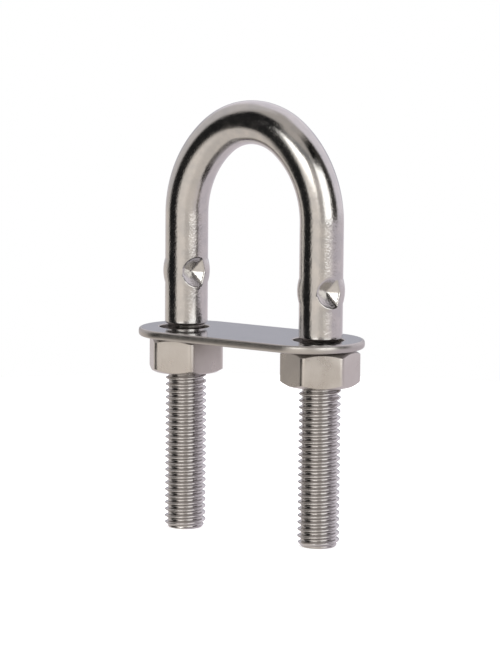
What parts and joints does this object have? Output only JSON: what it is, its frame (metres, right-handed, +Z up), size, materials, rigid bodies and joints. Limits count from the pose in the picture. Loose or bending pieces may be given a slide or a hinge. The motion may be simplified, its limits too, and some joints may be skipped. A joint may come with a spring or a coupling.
{
  "type": "pad eye",
  "caption": "U-shaped deck pad eye: a bent steel bar with threaded legs through a loose oblong plate, held by hex nuts.",
  "frame": {"origin": "centre of the plate's upper face, midway between the two legs' axes, where the deck's underside bears on the plate", "axes": "+Z up out of the deck towards the eye, +X from the left leg to the right leg, +Y across the bar"},
  "size_m": [0.0463, 0.02, 0.0808],
  "materials": {
    "bar_steel": "polished, with a faint drawn grain",
    "plate_steel": "mirror polished face with a satin edge",
    "nut_steel": "satin"
  },
  "bodies": {
    "u_bolt": {"u_bolt": "bar_steel"},
    "plate": {"plate": "plate_steel"},
    "nut_left": {"nut_left": "nut_steel"},
    "nut_right": {"nut_right": "nut_steel"}
  },
  "joints": [
    {"name": "plate_slide", "type": "slide", "parent": "u_bolt", "child": "plate", "axis": [0, 0, 1], "range_m": [0, 0.007]},
    {"name": "nut_left_travel", "type": "slide", "parent": "u_bolt", "child": "nut_left", "axis": [0, 0, -1], "range_m": [0, 0.02875]},
    {"name": "nut_right_travel", "type": "slide", "parent": "u_bolt", "child": "nut_right", "axis": [0, 0, -1], "range_m": [0, 0.02875]}
  ]
}
